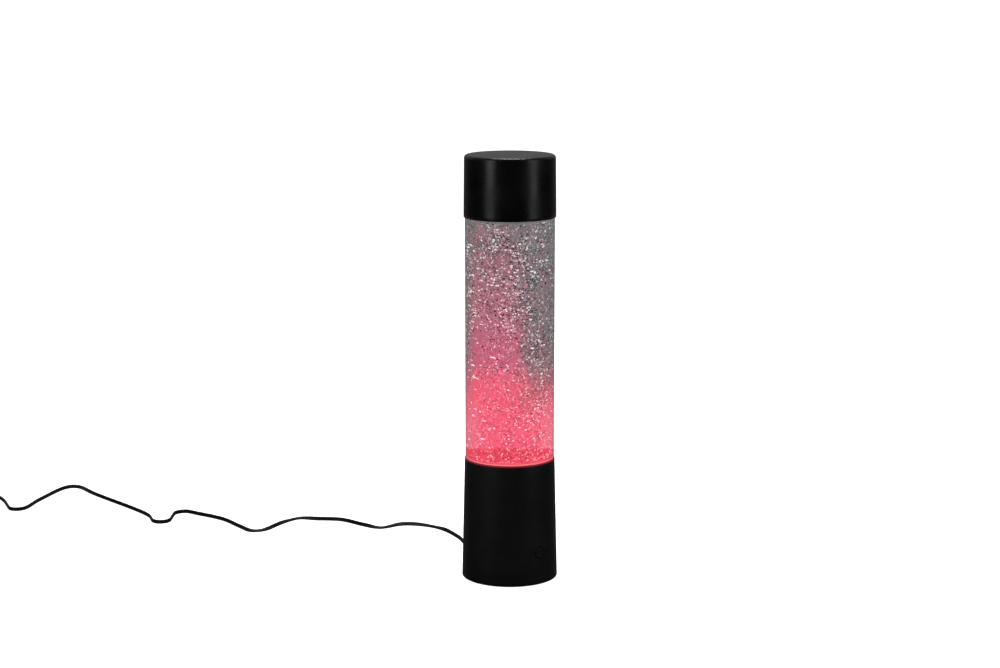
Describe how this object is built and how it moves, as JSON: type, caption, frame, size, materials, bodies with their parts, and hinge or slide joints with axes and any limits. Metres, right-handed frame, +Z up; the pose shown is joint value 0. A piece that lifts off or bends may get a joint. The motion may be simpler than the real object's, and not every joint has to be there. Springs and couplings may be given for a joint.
{
  "type": "lava lamp",
  "caption": "Tall slim glitter lava lamp: clear liquid tank between a black base and cap, stirred by a magnet-driven impeller, lit from below, with a button and a plug-in cord.",
  "frame": {"origin": "on the table, under the centre of the lamp", "axes": "+Z up the lamp; the push button faces -Y and the cord leaves the base towards +Y"},
  "size_m": [0.3522, 0.6496, 0.383],
  "materials": {
    "base_black": "satin",
    "cap_black": "satin",
    "inner_black": "matte",
    "clear_tank": "polished",
    "glitter_liquid": "polished",
    "white_plastic": "satin",
    "led_white": "gloss",
    "steel": "satin",
    "screw_steel": "satin",
    "magnet_plate": "polished",
    "circuit_board": "gloss",
    "rubber": "matte",
    "cord_black": "satin",
    "lead_red": "satin",
    "plug_black": "matte"
  },
  "bodies": {
    "base": {"base_shell": "base_black", "bottom_cover": "base_black", "control_chip": "inner_black", "switch_case": "inner_black", "motor_end_cap": "inner_black", "tank_tube": "clear_tank", "tank_floor": "clear_tank", "tank_top": "clear_tank", "glitter_liquid": "glitter_liquid", "light_frame": "white_plastic", "filler_plug": "white_plastic", "plug_tongue": "white_plastic", "led_lead": "white_plastic", "led_1": "led_white", "led_2": "led_white", "led_3": "led_white", "led_4": "led_white", "led_5": "led_white", "led_6": "led_white", "motor_case": "steel", "impeller_pin": "steel", "plug_shell": "steel", "cover_screw_1": "screw_steel", "cover_screw_2": "screw_steel", "cover_screw_3": "screw_steel", "cover_screw_4": "screw_steel", "board_screw_1": "screw_steel", "board_screw_2": "screw_steel", "frame_screw_1": "screw_steel", "frame_screw_2": "screw_steel", "frame_screw_3": "screw_steel", "motor_screw_1": "screw_steel", "motor_screw_2": "screw_steel", "control_board": "circuit_board", "led_board": "circuit_board", "foot_1": "rubber", "foot_2": "rubber", "foot_3": "rubber", "foot_4": "rubber", "filler_seal": "rubber", "strain_relief": "rubber", "supply_lead": "cord_black", "cord": "cord_black", "cord_coil": "cord_black", "cord_tail": "cord_black", "motor_lead": "lead_red", "plug_body": "plug_black", "coil_tie": "plug_black"},
    "button": {"push_button": "base_black", "switch_plunger": "rubber"},
    "rotor": {"motor_shaft": "steel", "magnet_carrier": "white_plastic", "drive_magnet_1": "magnet_plate", "drive_magnet_2": "magnet_plate"},
    "impeller": {"impeller_wheel": "white_plastic", "impeller_magnet_1": "magnet_plate", "impeller_magnet_2": "magnet_plate"},
    "cap": {"top_cap": "cap_black"}
  },
  "joints": [
    {"name": "button_press", "type": "slide", "parent": "base", "child": "button", "axis": [0, 1, 0], "range_m": [0, 0.0012], "stiffness_N_per_m": 500, "springref_m": -0.0006},
    {"name": "rotor_spin", "type": "hinge", "parent": "base", "child": "rotor", "pos_m": [0, 0, 0.095], "axis": [0, 0, 1], "continuous": true},
    {"name": "impeller_spin", "type": "hinge", "parent": "base", "child": "impeller", "pos_m": [0, 0, 0.108], "axis": [0, 0, 1], "continuous": true},
    {"name": "cap_lift", "type": "slide", "parent": "base", "child": "cap", "axis": [0, 0, 1], "range_m": [0, 0.06]}
  ],
  "couplings": [
    {"joint": "impeller_spin", "follows": "rotor_spin", "ratio": 1}
  ]
}
